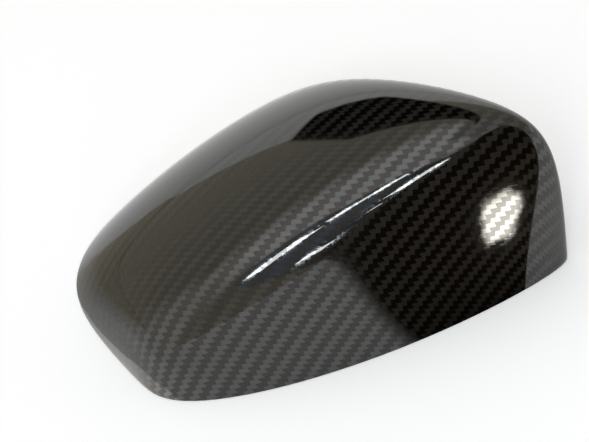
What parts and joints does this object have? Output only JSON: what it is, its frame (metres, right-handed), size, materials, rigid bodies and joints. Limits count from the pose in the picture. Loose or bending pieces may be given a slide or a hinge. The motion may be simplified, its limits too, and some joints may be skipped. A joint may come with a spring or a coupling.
{
  "type": "wing mirror cover",
  "caption": "Thin glossy twill-weave shell that caps a car's wing mirror housing, open at the back, with a tall ridged side, a raked door end and a rounded nose.",
  "frame": {"origin": "in the flat rim plane, under the middle of the cover's plan", "axes": "+X from the rounded outer nose to the raked door end, +Y from the tall ridged side to the low far side, +Z from the rim plane to the crown"},
  "size_m": [0.1754, 0.1464, 0.0789],
  "materials": {
    "carbon_laminate": "black twill-weave carbon laminate under a clear gloss coat"
  },
  "bodies": {
    "root": {"mirror_cover": "carbon_laminate"}
  },
  "joints": []
}
